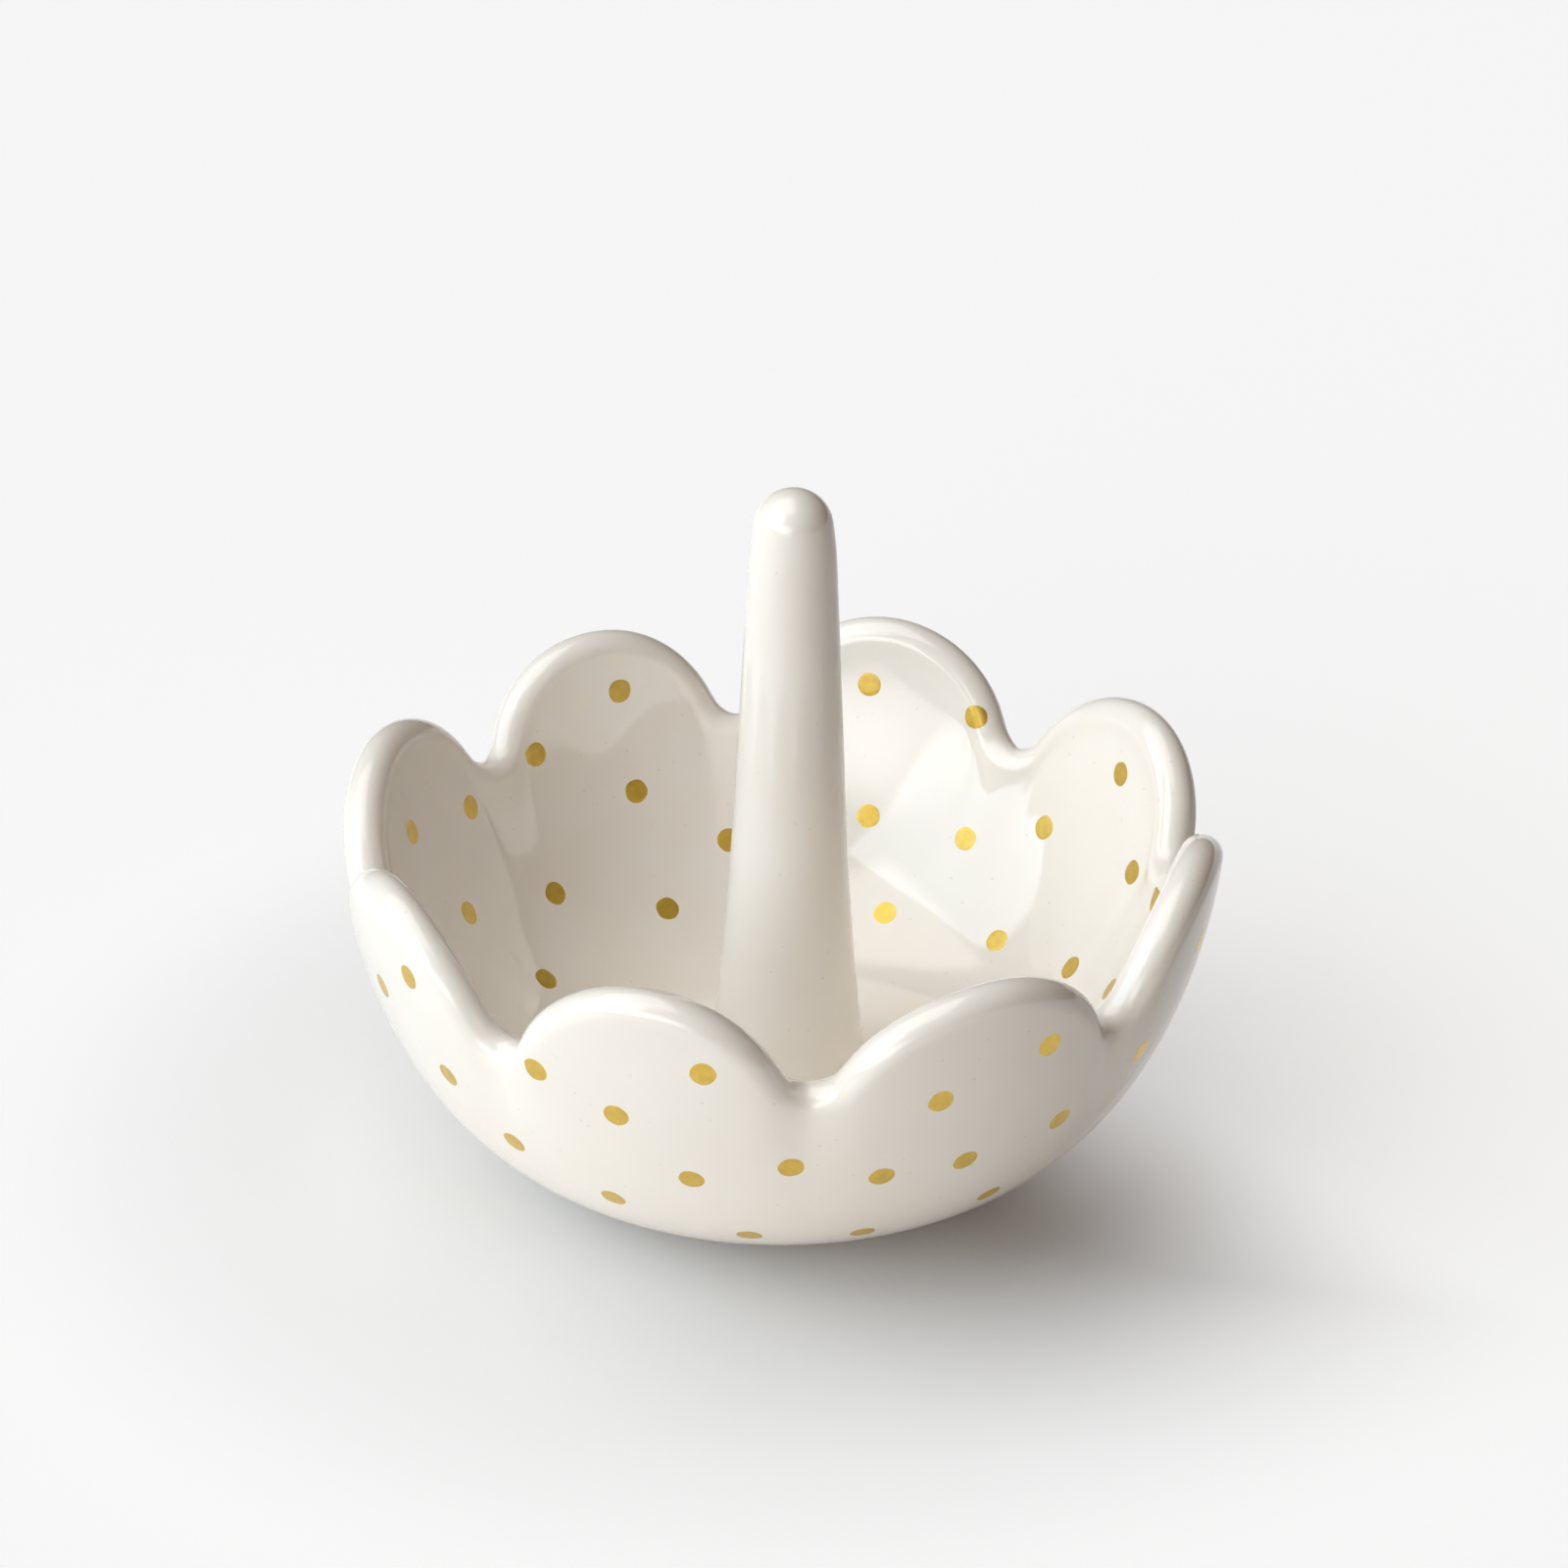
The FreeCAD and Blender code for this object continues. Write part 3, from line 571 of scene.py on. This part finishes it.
def make_glaze(name):
    """Glossy warm cream glaze with a slow drift of colour, fine specks and a faint waviness."""
    material, nodes, links, shader = new_material(name)
    geometry = nodes.new("ShaderNodeNewGeometry")
    place = geometry.outputs["Position"]
    drift = add_range(nodes, links, add_noise(nodes, links, place, DRIFT_SCALE), 0.0, 1.0)
    colour = add_mix(nodes, links, drift, GLAZE_LIGHT, GLAZE_WARM)
    cells = nodes.new("ShaderNodeTexVoronoi")
    cells.inputs["Scale"].default_value = SPECK_SCALE
    links.new(place, cells.inputs["Vector"])
    speck = add_range(nodes, links, cells.outputs["Distance"], SPECK_STRENGTH, 0.0, *SPECK_RADII)
    colour = add_mix(nodes, links, speck, colour, SPECK_COLOUR)
    links.new(colour, shader.inputs["Base Color"])
    smear = add_noise(nodes, links, place, SMEAR_SCALE, SMEAR_DETAIL)
    links.new(add_range(nodes, links, smear, *GLAZE_ROUGHNESS), shader.inputs["Roughness"])
    wave = add_noise(nodes, links, place, WAVE_SCALE, WAVE_DETAIL)
    add_bump(nodes, links, shader, wave, WAVE_STRENGTH, WAVE_HEIGHT)
    shader.inputs["IOR"].default_value = GLAZE_IOR
    return material


GOLD_LIGHT = (0.82, 0.57, 0.10, 1)
GOLD_DEEP = (0.72, 0.48, 0.07, 1)
GRAIN_SCALE = 4200.0
GRAIN_DETAIL = 2.0
GRAIN_ROUGHNESS = 0.6
GRAIN_STRENGTH = 0.5
GRAIN_HEIGHT = 0.02 * MM
CLOUD_SCALE = 900.0
CLOUD_DETAIL = 3.0
GOLD_ROUGHNESS = (0.42, 0.6)
GOLD_METALLIC = 0.9
GOLD_COAT = 0.7
GOLD_COAT_ROUGHNESS = 0.12


def make_gold():
    """Satin gold lustre with a fine grain under a thin clear coat."""
    material, nodes, links, shader = new_material("gold_lustre")
    geometry = nodes.new("ShaderNodeNewGeometry")
    place = geometry.outputs["Position"]
    grain = add_noise(nodes, links, place, GRAIN_SCALE, GRAIN_DETAIL, GRAIN_ROUGHNESS)
    cloud = add_noise(nodes, links, place, CLOUD_SCALE, CLOUD_DETAIL)
    cloud = add_range(nodes, links, cloud, 0.0, 1.0)
    links.new(add_mix(nodes, links, cloud, GOLD_LIGHT, GOLD_DEEP), shader.inputs["Base Color"])
    links.new(add_range(nodes, links, grain, *GOLD_ROUGHNESS), shader.inputs["Roughness"])
    add_bump(nodes, links, shader, grain, GRAIN_STRENGTH, GRAIN_HEIGHT)
    shader.inputs["Metallic"].default_value = GOLD_METALLIC
    shader.inputs["Coat Weight"].default_value = GOLD_COAT
    shader.inputs["Coat Roughness"].default_value = GOLD_COAT_ROUGHNESS
    return material


glaze = make_glaze("cream_glaze")
gold = make_gold()
bowl = add_dish([glaze])
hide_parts("dish")
post = add_post([glaze])
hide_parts("ring_post")
slip = add_slip([glaze])
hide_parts("slip_joint")
for petal in range(PETALS):
    for face in ("outside", "inside"):
        dots = add_dots(petal, face, [gold])
        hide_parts("petal_%d_%s_dots" % (petal + 1, face))

# Floor
FLOOR_SIZE = 60.0
FLOOR_DROP = 0.02 * MM
PAPER_COLOUR = (0.82, 0.817, 0.823, 1)
BACKDROP_COLOUR = (0.45, 0.45, 0.45, 1)
# The glow sets in far from the dish, where it makes the floor evenly bright, and also 5 to 45 mm from its
# axis towards the back-right, where it is painted light that thins the dish's shadow.
BACKDROP_AND_SHADOW_LIFT_GLOW = 0.58
SHADOW_LIFT_WAY = Vector((0.78, 0.625, 0))
SHADOW_LIFT_FADE = (5 * MM, 45 * MM)
BACKDROP_RING = (37 * MM, 100 * MM)
# Floor colour for the light it throws back onto the dish: painted light on the left, paler than the paper as
# seen, and painted shade on the right.
BOUNCE_LEFT_PAINTED_LIGHT = (0.94, 0.91, 0.87, 1)
BOUNCE_RIGHT_PAINTED_SHADE = (0.22, 0.19, 0.17, 1)
BOUNCE_PAINTED_SHADE_FADE = (30 * MM, 130 * MM)


def add_math(nodes, links, operation, first, second):
    """A plain operation on two values, each a number or another node's output."""
    node = nodes.new("ShaderNodeMath")
    node.operation = operation
    for socket, source in zip(node.inputs, (first, second)):
        if isinstance(source, float):
            socket.default_value = source
        else:
            links.new(source, socket)
    return node.outputs[0]


def add_smooth_step(nodes, links, value, start, end):
    """A smooth step from 0 to 1 while a value goes from start to end."""
    step = nodes.new("ShaderNodeMapRange")
    step.interpolation_type = "SMOOTHSTEP"
    step.inputs["From Min"].default_value = start
    step.inputs["From Max"].default_value = end
    links.new(value, step.inputs["Value"])
    return step.outputs["Result"]


def add_fade(nodes, links, way, start, end):
    """A smooth step from 0 to 1 across the floor, along a level direction, or outwards where that is None."""
    along = nodes.new("ShaderNodeVectorMath")
    if way is None:
        along.operation = "LENGTH"
    else:
        along.operation = "DOT_PRODUCT"
        along.inputs[1].default_value = way
    links.new(nodes.new("ShaderNodeNewGeometry").outputs["Position"], along.inputs[0])
    return add_smooth_step(nodes, links, along.outputs["Value"], start, end)


def make_paper():
    """Pale paper that runs into an evenly self-lit sweep far from the dish and, close by on the dish's
    back-right side, glows as painted light over the dish's shadow; for the light it throws back it is lighter
    on the left and darker on the right, as painted light and shade.
    """
    material, nodes, links, shader = new_material("studio_paper")
    path = nodes.new("ShaderNodeLightPath")
    seen = add_math(nodes, links, "MAXIMUM", path.outputs["Is Camera Ray"], path.outputs["Is Glossy Ray"])
    seen = add_math(nodes, links, "MAXIMUM", seen, path.outputs["Is Transmission Ray"])
    # Painted light: on the back-right side this mask lets the glow thin the dish's shadow; further out it is
    # the evenly bright sweep.
    backdrop_and_shadow_lift = add_math(
        nodes, links, "MAXIMUM", add_fade(nodes, links, SHADOW_LIFT_WAY, *SHADOW_LIFT_FADE),
        add_fade(nodes, links, None, *BACKDROP_RING))
    seen_colour = add_mix(nodes, links, backdrop_and_shadow_lift, PAPER_COLOUR, BACKDROP_COLOUR)
    # Painted light and shade in the light the floor throws back: lighter on the left, darker on the right.
    right = add_fade(nodes, links, Vector((1, 0, 0)), *BOUNCE_PAINTED_SHADE_FADE)
    painted_bounce = add_mix(nodes, links, right, BOUNCE_LEFT_PAINTED_LIGHT, BOUNCE_RIGHT_PAINTED_SHADE)
    links.new(add_mix(nodes, links, seen, painted_bounce, seen_colour), shader.inputs["Base Color"])
    glow = add_math(nodes, links, "MULTIPLY", backdrop_and_shadow_lift, BACKDROP_AND_SHADOW_LIFT_GLOW)
    glow = add_math(nodes, links, "MULTIPLY", glow, seen)
    shader.inputs["Emission Color"].default_value = (1, 1, 1, 1)
    links.new(glow, shader.inputs["Emission Strength"])
    shader.inputs["Roughness"].default_value = 1.0
    shader.inputs["Specular IOR Level"].default_value = 0.0
    return material


def add_floor():
    """A plain pale floor."""
    mesh = bpy.data.meshes.new("studio_floor")
    half = FLOOR_SIZE / 2
    corners = [(x, y, -FLOOR_DROP) for x, y in ((-half, -half), (half, -half), (half, half), (-half, half))]
    mesh.from_pydata(corners, [], [(0, 1, 2, 3)])
    mesh.materials.append(make_paper())
    floor = bpy.data.objects.new("studio_floor", mesh)
    bpy.context.scene.collection.objects.link(floor)


add_floor()

# Light
LIGHT_DISTANCE = 20.0
LIGHT_AIM = Vector((0, 0, 0.03))


def soften_edges(lamp, softness, colour):
    """Let a lamp's light fall off smoothly towards the edges of its soft box."""
    lamp.use_nodes = True
    nodes, links = lamp.node_tree.nodes, lamp.node_tree.links
    place = nodes.new("ShaderNodeSeparateXYZ")
    links.new(nodes.new("ShaderNodeNewGeometry").outputs["Parametric"], place.inputs["Vector"])
    strength = 1.0
    for axis in ("X", "Y"):
        other = add_math(nodes, links, "SUBTRACT", 1.0, place.outputs[axis])
        to_edge = add_math(nodes, links, "MINIMUM", place.outputs[axis], other)
        strength = add_math(
            nodes, links, "MULTIPLY", strength, add_smooth_step(nodes, links, to_edge, 0.0, softness))
    emission = nodes["Emission"]
    emission.inputs["Color"].default_value = (*colour, 1)
    links.new(strength, emission.inputs["Strength"])


def add_softbox(name, azimuth, elevation, wide, tall, radiance, colour, softness):
    """A soft box seen from the dish at an azimuth and elevation, as wide and as tall as these angles.

    Its edges are softened over a share of its width and height.
    """
    lamp = bpy.data.lights.new(name, "AREA")
    lamp.shape = "RECTANGLE"
    lamp.size = 2 * LIGHT_DISTANCE * math.tan(math.radians(wide / 2))
    lamp.size_y = 2 * LIGHT_DISTANCE * math.tan(math.radians(tall / 2))
    lamp.energy = radiance * math.pi * lamp.size * lamp.size_y
    soften_edges(lamp, softness, colour)
    holder = bpy.data.objects.new(name, lamp)
    bpy.context.scene.collection.objects.link(holder)
    level = math.cos(math.radians(elevation))
    way = Vector((
        level * math.cos(math.radians(azimuth)), level * math.sin(math.radians(azimuth)),
        math.sin(math.radians(elevation))))
    holder.location = LIGHT_AIM + way * LIGHT_DISTANCE
    holder.rotation_euler = way.to_track_quat("Z", "Y").to_euler()
    holder.visible_camera = False


add_softbox("key_softbox", -161, 30, 66, 49, 2.28, (0.84, 1.0, 1.12), 0.07)
add_softbox("front_softbox", -114, 13, 58, 42, 3.7, (1.02, 1.0, 0.97), 0.45)
add_softbox("top_softbox", -175, 72, 66, 50, 1.95, (1.02, 1.0, 0.95), 0.15)

FILL_COLOUR = (0.055, 0.027, 0.010, 1)


def light_world():
    """Plain warm fill light from all around."""
    world = bpy.data.worlds.new("studio_world")
    world.use_nodes = True
    world.node_tree.nodes["Background"].inputs["Color"].default_value = FILL_COLOUR
    bpy.context.scene.world = world


light_world()

# Camera, from the photograph's perspective
CAMERA_PLACE = Vector((0.40, -503.41, 302.42)) * MM
CAMERA_TILT = math.radians(27.04)
CAMERA_ROLL = math.radians(-0.67)
CAMERA_LENS = 114.05
CAMERA_SENSOR = 36.0
CAMERA_CLIP = (0.01, 100.0)


def add_camera():
    """The camera, with its tilt down and its slight roll."""
    camera = bpy.data.cameras.new("photo_camera")
    camera.sensor_width = CAMERA_SENSOR
    camera.lens = CAMERA_LENS
    camera.clip_start, camera.clip_end = CAMERA_CLIP
    holder = bpy.data.objects.new("photo_camera", camera)
    bpy.context.scene.collection.objects.link(holder)
    forward = Vector((0, math.cos(CAMERA_TILT), -math.sin(CAMERA_TILT)))
    level = Vector((1, 0, 0))
    down = forward.cross(level)
    right = level * math.cos(CAMERA_ROLL) + down * math.sin(CAMERA_ROLL)
    up = level * math.sin(CAMERA_ROLL) - down * math.cos(CAMERA_ROLL)
    turn = Matrix((right, up, -forward)).transposed()
    holder.matrix_world = Matrix.Translation(CAMERA_PLACE) @ turn.to_4x4()
    bpy.context.scene.camera = holder


add_camera()
bpy.context.scene.view_settings.view_transform = "Standard"
